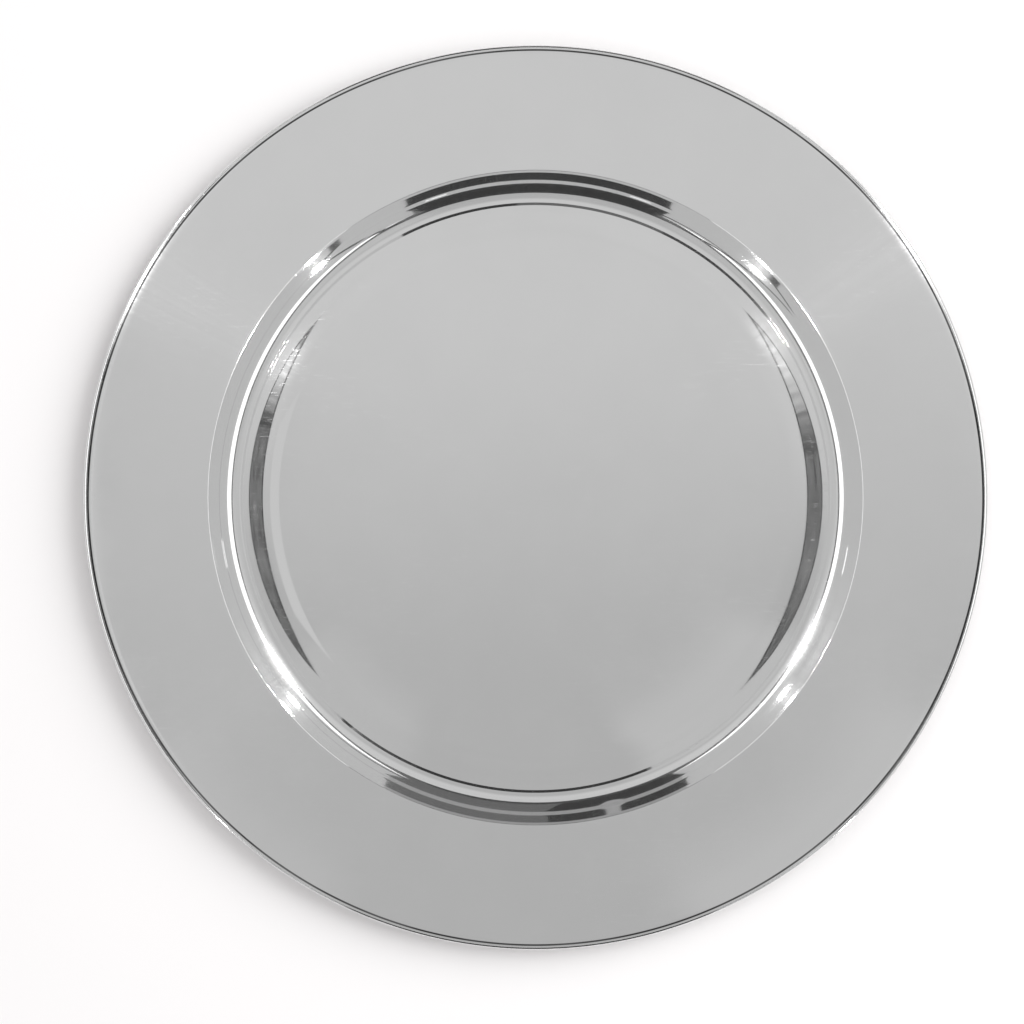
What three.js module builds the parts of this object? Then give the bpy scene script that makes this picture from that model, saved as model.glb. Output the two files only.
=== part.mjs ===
// Offering plate: a wide-rimmed dish pressed from one polished sheet, its edge rolled under, with a felt
// disc glued below its raised floor. Millimetres, +Z up, the felt's underside on z = 0.
import * as THREE from "three";

const degrees = THREE.MathUtils.degToRad;

// Driving dimensions. The dish's section is drawn along its top face.
const PLATE_RADIUS = 152.5;
const SHEET = 0.8;
const CLEARANCE = 0.3; // between the felt and the floor, where the glue is

const FELT_RADIUS = 85.5;
const FELT_STANDS_PROUD = 0.5; // below the pressed foot, so that no metal meets the table
const FELT_EDGE_BEVEL = 0.4;

const FLOOR_RADIUS = 91.3; // where the flat floor's line meets its sloping shoulder
const FLOOR_BEND = 58;
const SHOULDER_SLOPE = degrees(9.3);
const SHOULDER_RADIUS = 97.35; // where the shoulder eases
const SHOULDER_BEND = 34;
const SHOULDER_END_SLOPE = degrees(4.8);
const STEP_RADIUS = 99.4; // small step down to the foot
const STEP_WIDTH = 0.95;
const STEP_SLOPE = degrees(25);
const STEP_TOP_BEND = 1;
const STEP_BASE_BEND = 0.2;

const WALL_FOOT_RADIUS = 103; // where the foot's plane meets the wall
const WALL_FOOT_BEND = 7.2;
const WALL_FOOT_SLOPE = degrees(29);
const WALL_RADIUS = 106; // where the wall steepens
const WALL_BEND = 8.8;
const WALL_SLOPE = degrees(48.5);
const WALL_HEAD_RADIUS = 107.6; // where the wall eases again
const WALL_HEAD_BEND = 9.6;
const WALL_HEAD_SLOPE = degrees(40);

const RIM_INNER_RADIUS = 110.6;
const RIM_INNER_BEND = 1.6;
const RIM_SLOPE = degrees(2.4);
const RIM_EDGE_BEND = 14; // the rim turns down gently before it is rolled
const RIM_EDGE_SLOPE = degrees(8.2);
const ROLL_RADIUS = 1.4;
const ROLL_TURN = degrees(265); // leaves the roll open on its inner side, under the rim

const SIDES = 72;
const COARSEST_TURN = degrees(22.5);

// Derived heights and places.
const FOOT_Z = FELT_STANDS_PROUD + SHEET;
const STEP_Z = FOOT_Z + STEP_WIDTH * Math.tan(STEP_SLOPE);
const SHOULDER_Z = STEP_Z + (STEP_RADIUS - SHOULDER_RADIUS) * Math.tan(SHOULDER_END_SLOPE);
const FLOOR_Z = SHOULDER_Z + (SHOULDER_RADIUS - FLOOR_RADIUS) * Math.tan(SHOULDER_SLOPE);
const FELT_TOP_Z = FLOOR_Z - SHEET - CLEARANCE;

const WALL_Z = FOOT_Z + (WALL_RADIUS - WALL_FOOT_RADIUS) * Math.tan(WALL_FOOT_SLOPE);
const WALL_HEAD_Z = WALL_Z + (WALL_HEAD_RADIUS - WALL_RADIUS) * Math.tan(WALL_SLOPE);
const RIM_INNER_Z = WALL_HEAD_Z + (RIM_INNER_RADIUS - WALL_HEAD_RADIUS) * Math.tan(WALL_HEAD_SLOPE);
const RIM_EDGE_REACH = RIM_EDGE_BEND * (Math.sin(RIM_SLOPE) + Math.sin(RIM_EDGE_SLOPE));
const ROLL_START_RADIUS = PLATE_RADIUS - ROLL_RADIUS * (1 - Math.sin(RIM_EDGE_SLOPE));
const RIM_OUTER_RADIUS = ROLL_START_RADIUS - RIM_EDGE_REACH;
const RIM_OUTER_Z = RIM_INNER_Z + (RIM_OUTER_RADIUS - RIM_INNER_RADIUS) * Math.tan(RIM_SLOPE);

const headingOf = (from, to) => Math.atan2(to.z - from.z, to.r - from.r);
const mark = (r, z, heading) => ({ r, z, heading });

// Marks along an arc that starts at a mark and turns by an angle, left if it is positive.
function arcMarks(start, bend, turn) {
  const side = Math.sign(turn);
  const centreR = start.r - side * bend * Math.sin(start.heading);
  const centreZ = start.z + side * bend * Math.cos(start.heading);
  const steps = Math.max(2, Math.ceil(Math.abs(turn) / COARSEST_TURN));
  const marks = [];
  for (let i = 0; i <= steps; i++) {
    const heading = start.heading + (turn * i) / steps;
    const r = centreR + side * bend * Math.sin(heading);
    const z = centreZ - side * bend * Math.cos(heading);
    marks.push(mark(r, z, heading));
  }
  return marks;
}

// Marks along straight lines between corners, each inner corner rounded to its bend radius.
function roundedMarks(corners) {
  const marks = [mark(corners[0].r, corners[0].z, headingOf(corners[0], corners[1]))];
  for (let i = 1; i < corners.length - 1; i++) {
    const heading = headingOf(corners[i - 1], corners[i]);
    const turn = headingOf(corners[i], corners[i + 1]) - heading;
    const setback = corners[i].bend * Math.tan(Math.abs(turn) / 2);
    const r = corners[i].r - setback * Math.cos(heading);
    const z = corners[i].z - setback * Math.sin(heading);
    marks.push(...arcMarks(mark(r, z, heading), corners[i].bend, turn));
  }
  return marks;
}

// The rim's edge: a gentle turn down, the roll to its outermost point, and the rest of the roll.
function rimEdgeMarks() {
  const rimEnd = mark(RIM_OUTER_RADIUS, RIM_OUTER_Z, RIM_SLOPE);
  const edge = arcMarks(rimEnd, RIM_EDGE_BEND, -(RIM_SLOPE + RIM_EDGE_SLOPE));
  const toOutermost = Math.PI / 2 - RIM_EDGE_SLOPE;
  const outerRoll = arcMarks(edge[edge.length - 1], ROLL_RADIUS, -toOutermost);
  const innerRoll = arcMarks(outerRoll[outerRoll.length - 1], ROLL_RADIUS, toOutermost - ROLL_TURN);
  return [...edge, ...outerRoll.slice(1), ...innerRoll.slice(1)];
}

// A line through the marks, moved towards the sheet's other side by a depth.
function lineBelow(marks, depth) {
  return marks.map(({ r, z, heading }) => {
    const lineRadius = Math.max(0, r + depth * Math.sin(heading));
    return new THREE.Vector2(lineRadius, z - depth * Math.cos(heading));
  });
}

// A closed body of revolution about Z, from an outline of radius and height.
function turned(outline) {
  return new THREE.LatheGeometry(outline, SIDES).rotateX(Math.PI / 2);
}

function named(name, geometry, look) {
  const mesh = new THREE.Mesh(geometry, new THREE.MeshStandardMaterial(look));
  mesh.name = name;
  return mesh;
}

function plateDish() {
  const section = roundedMarks([
    { r: 0, z: FLOOR_Z },
    { r: FLOOR_RADIUS, z: FLOOR_Z, bend: FLOOR_BEND },
    { r: SHOULDER_RADIUS, z: SHOULDER_Z, bend: SHOULDER_BEND },
    { r: STEP_RADIUS, z: STEP_Z, bend: STEP_TOP_BEND },
    { r: STEP_RADIUS + STEP_WIDTH, z: FOOT_Z, bend: STEP_BASE_BEND },
    { r: WALL_FOOT_RADIUS, z: FOOT_Z, bend: WALL_FOOT_BEND },
    { r: WALL_RADIUS, z: WALL_Z, bend: WALL_BEND },
    { r: WALL_HEAD_RADIUS, z: WALL_HEAD_Z, bend: WALL_HEAD_BEND },
    { r: RIM_INNER_RADIUS, z: RIM_INNER_Z, bend: RIM_INNER_BEND },
    { r: RIM_OUTER_RADIUS, z: RIM_OUTER_Z },
  ]);
  section.push(...rimEdgeMarks());
  const outline = [...lineBelow(section, SHEET), ...lineBelow(section, 0).reverse()];
  return named("plate_dish", turned(outline), { color: 0xc8c8c8, roughness: 0.08, metalness: 1 });
}

function baseFelt() {
  const outline = [
    new THREE.Vector2(0, 0),
    new THREE.Vector2(FELT_RADIUS - FELT_EDGE_BEVEL, 0),
    new THREE.Vector2(FELT_RADIUS, FELT_EDGE_BEVEL),
    new THREE.Vector2(FELT_RADIUS, FELT_TOP_Z),
    new THREE.Vector2(0, FELT_TOP_Z),
  ];
  return named("base_felt", turned(outline), { color: 0x24211f, roughness: 0.95, metalness: 0 });
}

const plate = new THREE.Group();
plate.add(plateDish(), baseFelt());

export default plate;
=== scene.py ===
import math

import bpy
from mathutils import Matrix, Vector, noise


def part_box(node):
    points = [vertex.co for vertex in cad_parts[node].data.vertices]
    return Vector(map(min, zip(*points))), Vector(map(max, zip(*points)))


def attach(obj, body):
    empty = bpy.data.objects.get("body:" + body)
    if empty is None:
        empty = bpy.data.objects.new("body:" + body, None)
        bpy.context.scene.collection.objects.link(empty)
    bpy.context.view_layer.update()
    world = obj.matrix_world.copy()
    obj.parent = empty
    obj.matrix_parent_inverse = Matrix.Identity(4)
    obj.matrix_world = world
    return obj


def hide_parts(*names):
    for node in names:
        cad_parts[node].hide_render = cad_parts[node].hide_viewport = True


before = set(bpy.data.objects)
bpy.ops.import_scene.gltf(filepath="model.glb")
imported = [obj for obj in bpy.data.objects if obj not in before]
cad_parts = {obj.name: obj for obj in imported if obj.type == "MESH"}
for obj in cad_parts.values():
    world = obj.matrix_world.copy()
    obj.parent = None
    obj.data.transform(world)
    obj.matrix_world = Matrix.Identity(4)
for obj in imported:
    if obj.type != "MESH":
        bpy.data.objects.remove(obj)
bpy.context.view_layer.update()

MM = 0.001
DISH = "plate_dish"
FELT = "base_felt"

# The dish's section along its top face. The imported dish's bounds give its radius and its lowest height.
# The rest is as in the imported solids, apart from the shoulder, the bends at the step, the bead and the
# roll's outer bends.
DISH_LOW, DISH_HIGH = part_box(DISH)
FELT_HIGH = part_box(FELT)[1]

PLATE_RADIUS = DISH_HIGH[0]
SHEET = 0.8 * MM
FLOOR_RADIUS = 91.0 * MM
FLOOR_BEND = 54 * MM
SHOULDER_SLOPE = math.radians(9.3)
SHOULDER_RADIUS = 96.7 * MM
SHOULDER_BEND = 34 * MM
SHOULDER_END_SLOPE = math.radians(4.8)
STEP_RADIUS = 99.4 * MM
STEP_WIDTH = 0.95 * MM
STEP_SLOPE = math.radians(25)
STEP_TOP_BEND = 0.05 * MM
STEP_BASE_BEND = 0.05 * MM
STEP_UNDER_BEND = 1.1 * SHEET
WALL_FOOT_RADIUS = 103 * MM
WALL_FOOT_BEND = 7.2 * MM
WALL_FOOT_SLOPE = math.radians(29)
WALL_RADIUS = 106 * MM
WALL_BEND = 8.8 * MM
WALL_SLOPE = math.radians(48.5)
WALL_HEAD_RADIUS = 107.6 * MM
WALL_HEAD_BEND = 9.6 * MM
WALL_HEAD_SLOPE = math.radians(40)
RIM_INNER_RADIUS = 110.6 * MM
RIM_INNER_BEND = 1.6 * MM  # on the underside, which has no bead
RIM_SLOPE = math.radians(2.4)
RIM_EDGE_BEND = 14 * MM
RIM_EDGE_SLOPE = math.radians(8.2)
ROLL_RADIUS = 1.4 * MM
ROLL_TURN = math.radians(265)

# The roll bulges unevenly: tight where it leaves the rim, then flatter, then tighter round its outermost
# point.
ROLL_START_BEND = 0.8 * MM
ROLL_FLAT_BEND = 1.2 * MM
ROLL_FLAT_START = math.radians(22)
ROLL_FLAT_END = math.radians(45)
ROLL_OUTER_BEND = 0.9 * MM

# A fine bead round the rim's inner edge, left by the press: the wall steepens below it, its crest is sharp.
BEAD_BASE_RADIUS = 109.8 * MM
BEAD_BASE_BEND = 0.8 * MM
BEAD_BASE_SLOPE = math.radians(47)
BEAD_CREST_RADIUS = 110.46 * MM
BEAD_CREST_BEND = 0.04 * MM
BEAD_FALL_RADIUS = 110.58 * MM
BEAD_FALL_BEND = 0.04 * MM

# Painted shade: a thin, nearly black line painted into the sheet's colour in the fold where the roll
# starts.
CREASE_SHADE_RADIUS = 150.72 * MM
CREASE_SHADE_WIDTH = 0.6 * MM

FOOT_Z = DISH_LOW[2] + SHEET
STEP_Z = FOOT_Z + STEP_WIDTH * math.tan(STEP_SLOPE)
SHOULDER_Z = STEP_Z + (STEP_RADIUS - SHOULDER_RADIUS) * math.tan(SHOULDER_END_SLOPE)
FLOOR_Z = SHOULDER_Z + (SHOULDER_RADIUS - FLOOR_RADIUS) * math.tan(SHOULDER_SLOPE)
WALL_Z = FOOT_Z + (WALL_RADIUS - WALL_FOOT_RADIUS) * math.tan(WALL_FOOT_SLOPE)
WALL_HEAD_Z = WALL_Z + (WALL_HEAD_RADIUS - WALL_RADIUS) * math.tan(WALL_SLOPE)
RIM_INNER_Z = WALL_HEAD_Z + (RIM_INNER_RADIUS - WALL_HEAD_RADIUS) * math.tan(WALL_HEAD_SLOPE)
BEAD_BASE_Z = WALL_HEAD_Z + (BEAD_BASE_RADIUS - WALL_HEAD_RADIUS) * math.tan(WALL_HEAD_SLOPE)
BEAD_CREST_Z = BEAD_BASE_Z + (BEAD_CREST_RADIUS - BEAD_BASE_RADIUS) * math.tan(BEAD_BASE_SLOPE)
BEAD_FALL_Z = RIM_INNER_Z + (BEAD_FALL_RADIUS - RIM_INNER_RADIUS) * math.tan(RIM_SLOPE)
RIM_EDGE_ARCS = (
    (RIM_EDGE_BEND, -RIM_SLOPE, RIM_EDGE_SLOPE),
    (ROLL_START_BEND, RIM_EDGE_SLOPE, ROLL_FLAT_START),
    (ROLL_FLAT_BEND, ROLL_FLAT_START, ROLL_FLAT_END),
    (ROLL_OUTER_BEND, ROLL_FLAT_END, math.pi / 2),
)
RIM_OUTER_RADIUS = PLATE_RADIUS - sum(r * (math.sin(b) - math.sin(a)) for r, a, b in RIM_EDGE_ARCS)
RIM_OUTER_Z = RIM_INNER_Z + (RIM_OUTER_RADIUS - RIM_INNER_RADIUS) * math.tan(RIM_SLOPE)

AROUND = 240
FINE_TURN = math.radians(2)
ROLL_TURN_STEP = math.radians(5)
LONGEST_STEP = 12 * MM
END_STEPS = 6  # across the rounded end of the sheet, inside the roll
ON_AXIS = 1e-7

FELT_AROUND = 360
FELT_EDGE_BEND = 0.45 * MM
FELT_EDGE_STEPS = 5
FELT_RING_SHARES = (0.3, 0.6, 0.85, 0.97)
FELT_CUT_SHARE = 0.9  # of its radius, from where the felt's cut edge wanders
FELT_CUT_WANDER = 0.02
FELT_CUT_SCALE = 180


# ---- shapes ------------------------------------------------------------------------------------


def heading_of(start, end):
    return math.atan2(end[1] - start[1], end[0] - start[0])


def arc_marks(start, bend, turn, turn_step):
    """Marks (radius, height, heading) along an arc that leaves a mark and turns left if positive."""
    r, z, heading = start
    side = math.copysign(1, turn)
    centre_r = r - side * bend * math.sin(heading)
    centre_z = z + side * bend * math.cos(heading)
    steps = math.ceil(abs(turn) / turn_step)
    marks = []
    for i in range(steps + 1):
        way = heading + turn * i / steps
        marks.append((centre_r + side * bend * math.sin(way), centre_z - side * bend * math.cos(way), way))
    return marks


def rounded_marks(corners):
    """Marks along straight lines between (radius, height, bend) corners, each inner corner rounded."""
    marks = [(corners[0][0], corners[0][1], heading_of(corners[0], corners[1]))]
    for before, corner, after in zip(corners, corners[1:], corners[2:]):
        heading = heading_of(before, corner)
        turn = heading_of(corner, after) - heading
        setback = corner[2] * math.tan(abs(turn) / 2)
        start = (corner[0] - setback * math.cos(heading), corner[1] - setback * math.sin(heading), heading)
        marks += arc_marks(start, corner[2], turn, FINE_TURN)
    return marks + [(corners[-1][0], corners[-1][1], heading_of(corners[-2], corners[-1]))]


def filled_in(marks):
    """The same marks with more between them where they lie far apart."""
    out = [marks[0]]
    for last, mark in zip(marks, marks[1:]):
        count = math.ceil(math.dist(last[:2], mark[:2]) / LONGEST_STEP)
        for i in range(1, count + 1):
            out.append(tuple(a + (b - a) * i / count for a, b in zip(last, mark)))
    return out


def line_below(marks, depth):
    """A line through the marks, moved towards the sheet's other side by a depth."""
    return [(max(0, r + depth * math.sin(way)), z - depth * math.cos(way)) for r, z, way in marks]


def dish_section(step_bend, rim_inner_corners):
    """Marks along the sheet's top face and round its roll."""
    marks = rounded_marks([
        (0, FLOOR_Z),
        (FLOOR_RADIUS, FLOOR_Z, FLOOR_BEND),
        (SHOULDER_RADIUS, SHOULDER_Z, SHOULDER_BEND),
        (STEP_RADIUS, STEP_Z, step_bend),
        (STEP_RADIUS + STEP_WIDTH, FOOT_Z, STEP_BASE_BEND),
        (WALL_FOOT_RADIUS, FOOT_Z, WALL_FOOT_BEND),
        (WALL_RADIUS, WALL_Z, WALL_BEND),
        (WALL_HEAD_RADIUS, WALL_HEAD_Z, WALL_HEAD_BEND),
        *rim_inner_corners,
        (RIM_OUTER_RADIUS, RIM_OUTER_Z),
    ])
    marks = filled_in(marks)
    for bend, start, end in RIM_EDGE_ARCS:
        marks[-1:] = arc_marks(marks[-1], bend, start - end, FINE_TURN)
    marks[-1:] = arc_marks(marks[-1], ROLL_RADIUS, math.pi / 2 - ROLL_TURN, ROLL_TURN_STEP)
    return marks


def dish_outline():
    """The sheet's closed outline: underside out to the roll's end, round its edge, and back on top."""
    bead = [
        (BEAD_BASE_RADIUS, BEAD_BASE_Z, BEAD_BASE_BEND),
        (BEAD_CREST_RADIUS, BEAD_CREST_Z, BEAD_CREST_BEND),
        (BEAD_FALL_RADIUS, BEAD_FALL_Z, BEAD_FALL_BEND),
    ]
    over = dish_section(STEP_TOP_BEND, bead)
    under = dish_section(STEP_UNDER_BEND, [(RIM_INNER_RADIUS, RIM_INNER_Z, RIM_INNER_BEND)])
    r, z, way = over[-1]
    middle_r, middle_z = r + SHEET / 2 * math.sin(way), z - SHEET / 2 * math.cos(way)
    edge = []
    for i in range(1, END_STEPS):
        turn = way - math.pi / 2 + math.pi * i / END_STEPS
        edge.append((middle_r + SHEET / 2 * math.cos(turn), middle_z + SHEET / 2 * math.sin(turn)))
    return line_below(under, SHEET) + edge + line_below(over, 0)[::-1]


def turned(name, rings, around=AROUND):
    """A smooth body of revolution about Z, from (radius, height) rings that start and end on the axis."""
    verts, starts = [], []
    for r, z in rings:
        starts.append(len(verts))
        if r < ON_AXIS:
            verts.append((0, 0, z))
            continue
        for k in range(around):
            angle = 2 * math.pi * k / around
            verts.append((r * math.cos(angle), r * math.sin(angle), z))
    faces = []
    for i in range(len(rings) - 1):
        j = i + 1
        for k in range(around):
            n = (k + 1) % around
            if rings[i][0] < ON_AXIS:
                faces.append((starts[i], starts[j] + n, starts[j] + k))
            elif rings[j][0] < ON_AXIS:
                faces.append((starts[j], starts[i] + k, starts[i] + n))
            else:
                faces.append((starts[i] + k, starts[i] + n, starts[j] + n, starts[j] + k))
    mesh = bpy.data.meshes.new(name)
    mesh.from_pydata(verts, [], faces)
    mesh.shade_smooth()
    piece = bpy.data.objects.new(name, mesh)
    bpy.context.scene.collection.objects.link(piece)
    return piece


# ---- node helpers ------------------------------------------------------------------------------


class Tree:
    """Short calls that add nodes to a material's tree; a value may be a number, a tuple or a socket."""

    def __init__(self, tree):
        self.tree = tree
        tree.nodes.clear()

    def node(self, kind, inputs=None, **settings):
        made = self.tree.nodes.new(kind)
        for key, value in settings.items():
            setattr(made, key, value)
        for key, value in (inputs or {}).items():
            if isinstance(value, bpy.types.NodeSocket):
                self.tree.links.new(value, made.inputs[key])
            else:
                made.inputs[key].default_value = value
        return made

    def math(self, operation, *values):
        return self.node("ShaderNodeMath", dict(enumerate(values)), operation=operation).outputs[0]

    def mix(self, share, low, high):
        inputs = {0: share, 6: low, 7: high}
        return self.node("ShaderNodeMix", inputs, data_type="RGBA").outputs[2]

    def ramp(self, value, low, high, to_low=0.0, to_high=1.0):
        inputs = {"Value": value, "From Min": low, "From Max": high, "To Min": to_low, "To Max": to_high}
        return self.node("ShaderNodeMapRange", inputs, interpolation_type="SMOOTHSTEP").outputs[0]

    def place(self, vector, scale=(1, 1, 1), turn=0.0):
        made = self.node("ShaderNodeMapping", {"Vector": vector, "Scale": scale, "Rotation": (0, 0, turn)})
        return made.outputs[0]

    def noise(self, vector, scale, detail=2.0, roughness=0.5):
        inputs = {"Vector": vector, "Scale": scale, "Detail": detail, "Roughness": roughness}
        return self.node("ShaderNodeTexNoise", inputs).outputs[0]

    def finish(self, shader):
        self.node("ShaderNodeOutputMaterial", {"Surface": shader})

    def glow(self, strength):
        light = {"Color": (1, 1, 1, 1), "Strength": strength}
        self.finish(self.node("ShaderNodeEmission", light).outputs[0])


def new_material(name):
    material = bpy.data.materials.new(name)
    material.use_nodes = True
    return material, Tree(material.node_tree)


# ---- materials ---------------------------------------------------------------------------------

# Length, width and sparseness of scratches and fibres, each group in a direction of its own.
SHEET_SCRATCHES = (
    (16 * MM, 0.12 * MM, 0.74),
    (9 * MM, 0.1 * MM, 0.74),
    (6 * MM, 0.1 * MM, 0.745),
    (11 * MM, 0.12 * MM, 0.75),
    (4 * MM, 0.1 * MM, 0.75),
)
SCRATCH_TURN, SCRATCH_TURN_APART = 0.35, 0.68  # radians
FELT_FIBRES = ((3 * MM, 0.08 * MM, 0.6),) * 4
FIBRE_TURN, FIBRE_TURN_APART = 0.4, 0.79

POLISH_ANISOTROPY = 0.3
HAZE_ROUGHNESS = 0.22
HAZE_ANISOTROPY = 0.95
ACROSS_RINGS = 0.25  # of a full turn, so that reflections spread across the polishing rings


def hairlines(t, where, turn, length, width, sparse):
    """Fine straight scratches in one direction, length and width in metres; sparse from 0 to 1."""
    stretched = t.place(where, scale=(1 / length, 1 / width, 1 / length), turn=turn)
    return t.ramp(t.noise(stretched, 1.0, detail=1.0), sparse, sparse + 0.05)


def distance_from_axis(t, where):
    flat = t.place(where, scale=(1, 1, 0))
    return t.node("ShaderNodeVectorMath", {0: flat}, operation="LENGTH").outputs["Value"]


def direction_from_axis(t, where):
    flat = t.place(where, scale=(1, 1, 0))
    return t.node("ShaderNodeVectorMath", {0: flat}, operation="NORMALIZE").outputs[0]


def polishing_rings(t, where, width):
    """Faint lines round the axis, as a polishing wheel leaves them."""
    parts = t.node("ShaderNodeSeparateXYZ", {"Vector": where})
    slant = t.math("ADD", distance_from_axis(t, where), parts.outputs[2])
    along = 1 / (60 * MM)
    inputs = {
        "X": t.math("DIVIDE", slant, width),
        "Y": t.math("MULTIPLY", parts.outputs[0], along),
        "Z": t.math("MULTIPLY", parts.outputs[1], along),
    }
    return t.noise(t.node("ShaderNodeCombineXYZ", inputs).outputs[0], 1.0, detail=2.0)


def scratches(t, where, groups, first_turn, turn_apart):
    """Scratches in several directions, from (length, width, sparse) groups."""
    found = None
    for i, (length, width, sparse) in enumerate(groups):
        lines = hairlines(t, where, first_turn + turn_apart * i, length, width, sparse)
        found = lines if found is None else t.math("MAXIMUM", found, lines)
    return found


def polish_roughness(t, clouds, marks, specks, underside):
    roughness = t.ramp(clouds, 0.35, 0.7, 0.035, 0.07)
    roughness = t.math("ADD", roughness, t.math("MULTIPLY", marks, 0.14))
    roughness = t.math("ADD", roughness, t.math("MULTIPLY", specks, 0.1))
    return t.math("ADD", roughness, t.math("MULTIPLY", underside, 0.12))


def tint_with_crease_shade(t, where, clouds, distance, upward):
    """Light grey, with a nearly black painted shade along the fold where the roll starts."""
    tint = t.mix(clouds, (0.80, 0.80, 0.80, 1), (0.84, 0.84, 0.84, 1))
    # Painted shade: the colour turns nearly black in a thin ring at the fold where the roll starts, on
    # faces that point up.
    off_crease = t.math("ABSOLUTE", t.math("SUBTRACT", distance, CREASE_SHADE_RADIUS))
    crease_shade = t.ramp(off_crease, 0.3 * CREASE_SHADE_WIDTH, 0.7 * CREASE_SHADE_WIDTH, 1.0, 0.0)
    crease_shade = t.math("MULTIPLY", crease_shade, t.ramp(t.noise(where, 35.0), 0.35, 0.55, 0.85, 0.97))
    crease_shade = t.math("MULTIPLY", crease_shade, t.ramp(upward, 0.0, 0.3))
    return t.mix(crease_shade, tint, (0.05, 0.05, 0.05, 1))


def polish_relief(t, where, marks):
    """Slight waves in the sheet, polishing rings and scratches, as a bumped normal."""
    rings = polishing_rings(t, where, 0.35 * MM)
    relief = t.math("MULTIPLY", t.noise(where, 22.0, detail=1.0), 0.006 * MM)
    relief = t.math("ADD", relief, t.math("MULTIPLY", rings, 0.0004 * MM))
    relief = t.math("SUBTRACT", relief, t.math("MULTIPLY", marks, 0.0008 * MM))
    return t.node("ShaderNodeBump", {"Height": relief, "Strength": 1.0, "Distance": 1.0}).outputs[0]


def haze_share(t, where, marks, distance):
    """How hazy the polish is: streaked on the pressed bends and the rim's edge, and along scratches."""
    streaks = t.noise(direction_from_axis(t, where), 170.0, detail=3.0, roughness=0.7)
    streaks = t.ramp(streaks, 0.3, 0.7, 0.5, 1.5)
    wall = t.ramp(distance, 101 * MM, 103 * MM)
    wall = t.math("MULTIPLY", wall, t.ramp(distance, 110 * MM, 112 * MM, 0.07, 0.0))
    edge = t.ramp(distance, 148 * MM, 151 * MM, 0.0, 0.09)
    shoulder = t.ramp(distance, 90 * MM, 94 * MM, 0.0, 0.017)
    bends = t.math("ADD", t.math("ADD", wall, edge), shoulder)
    return t.math("ADD", t.math("MULTIPLY", streaks, bends), t.math("MULTIPLY", marks, 0.12))


def brushed(t, tint, roughness, anisotropy, **more):
    """Metal whose reflections spread across the polishing rings."""
    return t.node("ShaderNodeBsdfPrincipled", {
        "Base Color": tint,
        "Metallic": 1.0,
        "Roughness": roughness,
        "Anisotropic": anisotropy,
        "Anisotropic Rotation": ACROSS_RINGS,
        "Tangent": t.node("ShaderNodeTangent", direction_type="RADIAL", axis="Z").outputs[0],
        **more,
    }).outputs[0]


def polished_metal():
    """Mirror-polished sheet: clouded slightly, with polishing rings, handling scratches and specks."""
    material, t = new_material("polished_sheet")
    where = t.node("ShaderNodeTexCoord").outputs["Object"]
    distance = distance_from_axis(t, where)
    clouds = t.noise(where, 45.0, detail=4.0, roughness=0.6)
    marks = scratches(t, where, SHEET_SCRATCHES, SCRATCH_TURN, SCRATCH_TURN_APART)
    spots = t.node("ShaderNodeTexVoronoi", {"Vector": where, "Scale": 70.0}).outputs["Distance"]
    specks = t.ramp(spots, 0.008, 0.02, 1.0, 0.0)
    facing = t.node("ShaderNodeNewGeometry").outputs["Normal"]
    upward = t.node("ShaderNodeSeparateXYZ", {"Vector": facing}).outputs[2]
    underside = t.ramp(upward, -0.6, 0.1, 1.0, 0.0)

    roughness = polish_roughness(t, clouds, marks, specks, underside)
    tint = tint_with_crease_shade(t, where, clouds, distance, upward)
    polish = brushed(t, tint, roughness, POLISH_ANISOTROPY, Normal=polish_relief(t, where, marks))
    haze = brushed(t, tint, HAZE_ROUGHNESS, HAZE_ANISOTROPY)
    shares = {0: haze_share(t, where, marks, distance), 1: polish, 2: haze}
    t.finish(t.node("ShaderNodeMixShader", shares).outputs[0])
    return material


def pressed_felt():
    """Dark wool felt: matted fibres at two scales, flecks of lint and a soft sheen."""
    material, t = new_material("felt")
    where = t.node("ShaderNodeTexCoord").outputs["Object"]
    tufts = t.noise(where, 900.0, detail=5.0, roughness=0.7)
    mat = t.noise(where, 60.0, detail=3.0)
    fibres = scratches(t, where, FELT_FIBRES, FIBRE_TURN, FIBRE_TURN_APART)
    shade = t.math("ADD", t.math("MULTIPLY", tufts, 0.6), t.math("MULTIPLY", mat, 0.4))
    ramp = t.node("ShaderNodeValToRGB", {"Fac": t.math("ADD", shade, t.math("MULTIPLY", fibres, 0.12))})
    ramp.color_ramp.elements[0].position = 0.3
    ramp.color_ramp.elements[0].color = (0.016, 0.014, 0.013, 1)
    ramp.color_ramp.elements[1].position = 0.75
    ramp.color_ramp.elements[1].color = (0.06, 0.055, 0.052, 1)
    height = t.math("ADD", t.math("MULTIPLY", tufts, 0.25 * MM), t.math("MULTIPLY", fibres, 0.06 * MM))
    bump = t.node("ShaderNodeBump", {"Height": height, "Distance": 1.0, "Strength": 0.8})
    shader = t.node("ShaderNodeBsdfPrincipled", {
        "Base Color": ramp.outputs[0],
        "Roughness": 0.95,
        "Sheen Weight": 0.4,
        "Sheen Roughness": 0.5,
        "Normal": bump.outputs[0],
    })
    t.finish(shader.outputs[0])
    return material


# ---- pieces ------------------------------------------------------------------------------------


def finish_piece(piece, material, node):
    piece.data.materials.append(material)
    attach(piece, "root")
    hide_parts(node)


def make_dish():
    finish_piece(turned("dish", dish_outline()), polished_metal(), DISH)


def felt_rings(radius, top):
    """The felt's outline, from the middle of its underside round its soft edge to the middle of its top."""
    bend = FELT_EDGE_BEND
    rings = [(0, 0)]
    rings += [(radius * share - bend, 0) for share in FELT_RING_SHARES]
    for middle_z, first in ((bend, -math.pi / 2), (top - bend, 0)):
        for i in range(FELT_EDGE_STEPS + 1):
            turn = first + math.pi / 2 * i / FELT_EDGE_STEPS
            rings.append((radius - bend + bend * math.cos(turn), middle_z + bend * math.sin(turn)))
    return rings + [(0, top)]


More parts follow.
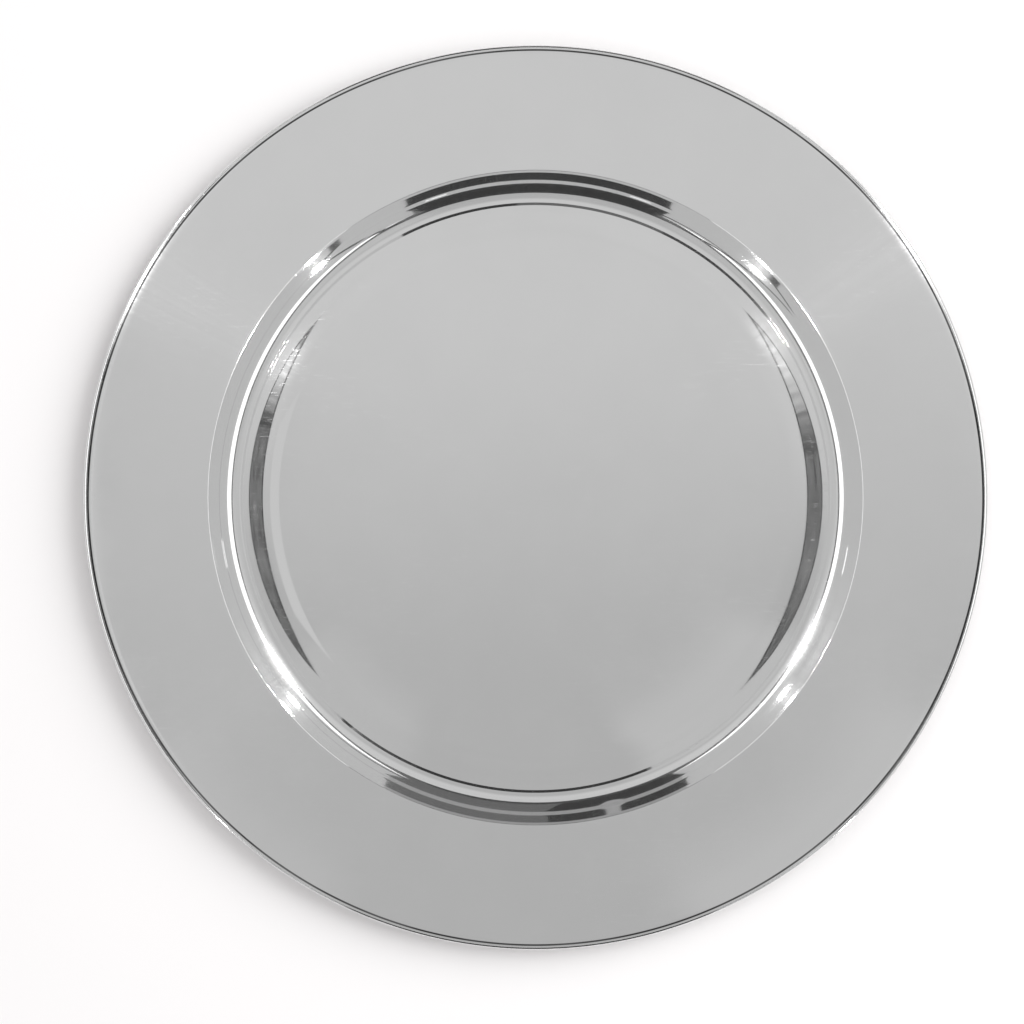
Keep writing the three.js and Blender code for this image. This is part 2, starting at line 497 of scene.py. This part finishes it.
def make_felt():
    radius = FELT_HIGH[0]
    felt = turned("felt_disc", felt_rings(radius, FELT_HIGH[2]), around=FELT_AROUND)
    for vert in felt.data.vertices:
        past = max(0, vert.co.xy.length / radius - FELT_CUT_SHARE)
        wander = noise.noise(Vector((vert.co.x, vert.co.y, 0)) * FELT_CUT_SCALE)
        scale = 1 + FELT_CUT_WANDER * past * (wander - 1)
        vert.co.x *= scale
        vert.co.y *= scale
    finish_piece(felt, pressed_felt(), FELT)


# ---- studio ------------------------------------------------------------------------------------

CAMERA_HEIGHT = 0.8
PLATE_SHARE = 0.8845  # the plate's diameter over the picture's width
OFF_CENTRE = (-0.026, -0.016)  # the camera's place beside the plate's axis, in plate diameters
SENSOR = 36.0
TABLE_WIDTH = 12.0
KEY_AZIMUTH, KEY_ELEVATION, KEY_DISTANCE = math.radians(23), math.radians(36), 1.8
STUDIO_RADIUS = 4.0
DEPTH_STEP = 0.01  # of the studio's radius, between a card and the next one in front
PANEL_HEIGHT = 3.0
PANEL_LEFT, PANEL_RIGHT, PANEL_END = -0.367 * PANEL_HEIGHT, 0.377 * PANEL_HEIGHT, 0.6 * PANEL_HEIGHT
PANEL_SECTORS = ((-46, 20, 0.08), (-131, 16, 0.05), (166, 14, -0.02))  # azimuth, half width, gain
SECTOR_FADE = 4  # degrees
FRAME_WIDTH = 0.05
FRAME_TONE = 0.04
SIDE_REACH = 66  # degrees each way
STRIP_LINE = 0.51  # the bright strips' inner edge, as a share of the height
STRIP_FRAME_LINE = 0.487


def glow(name, strength, sampling="NONE"):
    material, t = new_material(name)
    t.glow(strength)
    material.cycles.emission_sampling = sampling
    return material


def striped_glow(name, azimuth, half_width):
    """A light in uneven stripes that run down the dome, fading out to both sides of an azimuth."""
    material, t = new_material(name)
    where = t.node("ShaderNodeTexCoord").outputs["Object"]
    stripes = t.noise(direction_from_axis(t, where), 55.0, detail=4.0, roughness=0.7)
    stripes = t.ramp(stripes, 0.35, 0.65, 0.4, 1.0)
    fade = t.ramp(degrees_from(t, where, azimuth), 0.0, half_width, 0.95, 0.15)
    t.glow(t.math("MULTIPLY", stripes, fade))
    material.cycles.emission_sampling = "NONE"
    return material


def studio_card(name, verts, faces, material):
    """A card that shows in the polished metal only, neither to the camera nor as light on the table."""
    mesh = bpy.data.meshes.new(name)
    mesh.from_pydata(verts, [], faces)
    mesh.materials.append(material)
    card = bpy.data.objects.new(name, mesh)
    bpy.context.scene.collection.objects.link(card)
    card.visible_camera = False
    card.visible_diffuse = False
    card.visible_shadow = False
    card.visible_transmission = False


def dome_point(azimuth, zenith, radius):
    """A point on the studio dome, from angles in degrees."""
    turn, tilt = math.radians(azimuth), math.radians(zenith)
    out = radius * math.sin(tilt)
    return (out * math.cos(turn), out * math.sin(turn), radius * math.cos(tilt))


def dome_card(name, material, azimuths, zeniths, depth=0, lower_azimuths=None, inner_line=None):
    """A curved card between two azimuths and two zenith angles, deeper cards in front of others.

    It may reach other azimuths at its lower edge. An inner line cuts its upper edge off straight, at this
    share of the height out from the axis.
    """
    steps = 30
    radius = STUDIO_RADIUS * (1 - DEPTH_STEP * depth)
    lower = lower_azimuths or azimuths
    middle = math.radians(sum(azimuths) / 2)
    verts, faces = [], []
    for i in range(steps + 1):
        down = i / steps
        start, end = (azimuths[n] + (lower[n] - azimuths[n]) * down for n in (0, 1))
        for k in range(steps + 1):
            azimuth = start + (end - start) * k / steps
            top = zeniths[0]
            if inner_line:
                line = inner_line / math.cos(math.radians(azimuth) - middle)
                top = min(max(top, math.degrees(math.atan(line))), zeniths[1])
            verts.append(dome_point(azimuth, top + (zeniths[1] - top) * down, radius))
    for i in range(steps):
        for k in range(steps):
            a = i * (steps + 1) + k
            faces.append((a, a + 1, a + steps + 2, a + steps + 1))
    studio_card(name, verts, faces, material)


def flat_card(name, material, x_range, y_range, height):
    (left, right), (front, back) = x_range, y_range
    corners = [(left, front, height), (right, front, height), (right, back, height), (left, back, height)]
    studio_card(name, corners, [(0, 1, 2, 3)], material)


def degrees_from(t, where, azimuth):
    """How far round the axis a place lies from an azimuth."""
    parts = t.node("ShaderNodeSeparateXYZ", {"Vector": where}).outputs
    turn = t.math("DEGREES", t.math("ARCTAN2", parts[1], parts[0]))
    return t.math("ABSOLUTE", t.math("SUBTRACT", turn, float(azimuth)))


def panel_light():
    """The panel's own light: brighter towards +Y, with fainter and fuller sectors away from its middle."""
    material, t = new_material("ceiling_panel")
    where = t.node("ShaderNodeTexCoord").outputs["Object"]
    parts = t.node("ShaderNodeSeparateXYZ", {"Vector": where}).outputs
    light = t.ramp(parts[1], -0.12 * PANEL_HEIGHT, 0.12 * PANEL_HEIGHT, 0.515, 0.675)
    cloud = t.ramp(t.noise(where, 1.3, detail=2.0), 0.2, 0.8, 0.98, 1.02)
    away = t.ramp(distance_from_axis(t, where), 0.3, 0.46, 0.0, 1.0)
    for middle, half_width, gain in PANEL_SECTORS:
        fade = (half_width - SECTOR_FADE, half_width + SECTOR_FADE)
        sector = t.ramp(degrees_from(t, where, middle), *fade, gain, 0.0)
        light = t.math("ADD", light, t.math("MULTIPLY", sector, away))
    t.glow(t.math("MULTIPLY", light, cloud))
    material.cycles.emission_sampling = "NONE"
    return material


def ceiling_panel():
    """The large diffuser overhead, which the flat faces mirror, in a dark frame and with a lit seam."""
    panel_y = (-PANEL_END, PANEL_END)
    flat_card("ceiling_panel", panel_light(), (PANEL_LEFT, PANEL_RIGHT), panel_y, PANEL_HEIGHT)
    frame_x, frame_end = (PANEL_LEFT - FRAME_WIDTH, PANEL_RIGHT + FRAME_WIDTH), PANEL_END + FRAME_WIDTH
    frame_glow = glow("panel_frame", FRAME_TONE)
    flat_card("panel_frame", frame_glow, frame_x, (-frame_end, frame_end), PANEL_HEIGHT * 1.003)
    flat_card("panel_seam", glow("panel_seam", 0.67), (-0.79, -0.46), (-0.38, 0.25), PANEL_HEIGHT * 0.997)


def room():
    """The dim, uneven room behind the cards, lighter at both sides."""
    material, t = new_material("room")
    where = t.node("ShaderNodeTexCoord").outputs["Object"]
    side = t.math("ABSOLUTE", t.node("ShaderNodeSeparateXYZ", {"Vector": where}).outputs[0])
    beside = t.ramp(side, 0.9, 1.35, 0.3, 0.7)
    strength = t.ramp(t.noise(where, 3.5, detail=5.0, roughness=0.7), 0.3, 0.7, 0.14, 0.36)
    t.glow(t.math("MULTIPLY", strength, beside))
    material.cycles.emission_sampling = "NONE"
    dome_card("room", material, (0, 360), (0, 90), depth=-10)


def side_lights():
    """Grey walls at both sides, and above them bright strips with a straight inner edge."""
    wall, strip, skirting = glow("side_wall", 0.56), glow("side_strip", 1.5), glow("skirting", 0.36)
    strip_frame = glow("strip_frame", FRAME_TONE)
    for side, middle in (("right", 0), ("left", 180)):
        across = (middle - SIDE_REACH, middle + SIDE_REACH)
        dome_card("side_wall_" + side, wall, across, (49, 90))
        dome_card("side_strip_" + side, strip, across, (27, 50), 2, inner_line=STRIP_LINE)
        dome_card("strip_frame_" + side, strip_frame, across, (26, 50), 1, inner_line=STRIP_FRAME_LINE)
        dome_card("skirting_" + side, skirting, across, (88.6, 90), 2)


def dark_ends():
    """The unlit ends of the studio, with a lighter band along the horizon and a stand at the back."""
    dome_card("front", glow("front", 0.045), (248, 291), (30, 81), 4, lower_azimuths=(245, 295))
    dome_card("front_horizon", glow("front_horizon", 0.55), (244, 296), (81, 90), 4)
    dome_card("back_left", glow("back_left", 0.05), (94, 115), (42, 81), 4, lower_azimuths=(91, 118))
    dome_card("back_right", glow("back_right", 0.15), (66, 94), (42, 81), 4, lower_azimuths=(61, 91))
    dome_card("back_horizon", glow("back_horizon", 0.35), (62, 117), (81, 90), 4)
    dome_card("back_stand", glow("back_stand", 0.4), (102.5, 104), (68, 82), 5, lower_azimuths=(101, 106))
    wedge = glow("wedge", 0.06)
    dome_card("back_wedge", wedge, (65, 65), (54.5, 58.5), 4, lower_azimuths=(30, 65))
    dome_card("front_wedge", wedge, (247, 247), (54.5, 58.5), 4, lower_azimuths=(214, 247))
    front_edge = glow("front_edge", 0.06)
    dome_card("front_edge_left", front_edge, (242, 245), (31, 84), 5, lower_azimuths=(215, 217))
    dome_card("front_edge_right_high", front_edge, (294, 297), (31, 54.5), 5, lower_azimuths=(302, 304.5))
    dome_card("front_edge_right_low", front_edge, (303.4, 305.9), (58.7, 84), 5, lower_azimuths=(312, 314))


def lamps():
    """Bare lamps: two high ones at the sides, low ones near the horizon, and gleams above the dark ends."""
    high = glow("high_lamp", 220.0, sampling="FRONT_BACK")
    for name, azimuth in (("right", 34), ("left", 150)):
        dome_card("high_lamp_" + name, high, (azimuth - 3.2, azimuth + 3.2), (33, 41), 8)
    low = glow("low_lamp", 60.0, sampling="FRONT_BACK")
    low_places = (("back_left", 141), ("back_right", 40), ("front_left", 226), ("front_right", 314))
    for name, azimuth in low_places:
        dome_card("low_lamp_" + name, low, (azimuth - 1, azimuth + 1), (79, 88), 8)
    small = glow("small_lamp", 1.4, sampling="FRONT_BACK")
    for name, azimuth in (("right", 10.5), ("left", 168)):
        dome_card("small_lamp_" + name, small, (azimuth - 2.5, azimuth + 2.5), (86.5, 88.5), 8)
    far = glow("far_lamp", 1.2)
    for name, azimuth in (("left", 251), ("right", 289)):
        dome_card("far_lamp_" + name, far, (azimuth - 2, azimuth + 2), (87, 90), 8)
    for name, azimuth, half_width in (("right", 28, 18), ("left", 152, 12)):
        gleam = striped_glow("gleam_" + name, azimuth, half_width)
        dome_card("gleam_" + name, gleam, (azimuth - half_width, azimuth + half_width), (21, 28), 5)


def studio_cards():
    ceiling_panel()
    room()
    side_lights()
    dark_ends()
    lamps()


def table():
    mesh = bpy.data.meshes.new("table")
    half = TABLE_WIDTH / 2
    corners = [(-half, -half, 0), (half, -half, 0), (half, half, 0), (-half, half, 0)]
    mesh.from_pydata(corners, [], [(0, 1, 2, 3)])
    floor = bpy.data.objects.new("table", mesh)
    bpy.context.scene.collection.objects.link(floor)
    material, t = new_material("white_table")
    look = {"Base Color": (0.9, 0.895, 0.893, 1), "Roughness": 0.9, "Specular IOR Level": 0.0}
    t.finish(t.node("ShaderNodeBsdfPrincipled", look).outputs[0])
    mesh.materials.append(material)


def soft_light():
    """One broad lamp from the upper right, which casts the soft shadow, and an even fill."""
    data = bpy.data.lights.new("key", "AREA")
    data.shape = "DISK"
    data.size = 1.7
    data.energy = 26.0
    key = bpy.data.objects.new("key", data)
    level = KEY_DISTANCE * math.cos(KEY_ELEVATION)
    height = KEY_DISTANCE * math.sin(KEY_ELEVATION)
    key.location = (level * math.cos(KEY_AZIMUTH), level * math.sin(KEY_AZIMUTH), height)
    key.rotation_euler = (-Vector(key.location)).to_track_quat("-Z", "Y").to_euler()
    key.visible_glossy = False
    bpy.context.scene.collection.objects.link(key)
    world = bpy.data.worlds.new("fill")
    world.use_nodes = True
    background = world.node_tree.nodes["Background"]
    background.inputs["Color"].default_value = (1.0, 0.982, 0.986, 1)
    background.inputs["Strength"].default_value = 0.79
    bpy.context.scene.world = world


def camera():
    """Straight above, a little off the plate's axis, so the plate sits off the picture's centre."""
    data = bpy.data.cameras.new("camera")
    data.sensor_width = SENSOR
    picture_width = 2 * PLATE_RADIUS / PLATE_SHARE
    data.lens = SENSOR * CAMERA_HEIGHT / picture_width
    eye = bpy.data.objects.new("camera", data)
    height = DISH_HIGH[2] + CAMERA_HEIGHT
    eye.location = (OFF_CENTRE[0] * 2 * PLATE_RADIUS, OFF_CENTRE[1] * 2 * PLATE_RADIUS, height)
    bpy.context.scene.collection.objects.link(eye)
    bpy.context.scene.camera = eye


make_dish()
make_felt()
camera()
table()
soft_light()
studio_cards()
bpy.context.scene.view_settings.view_transform = "Standard"
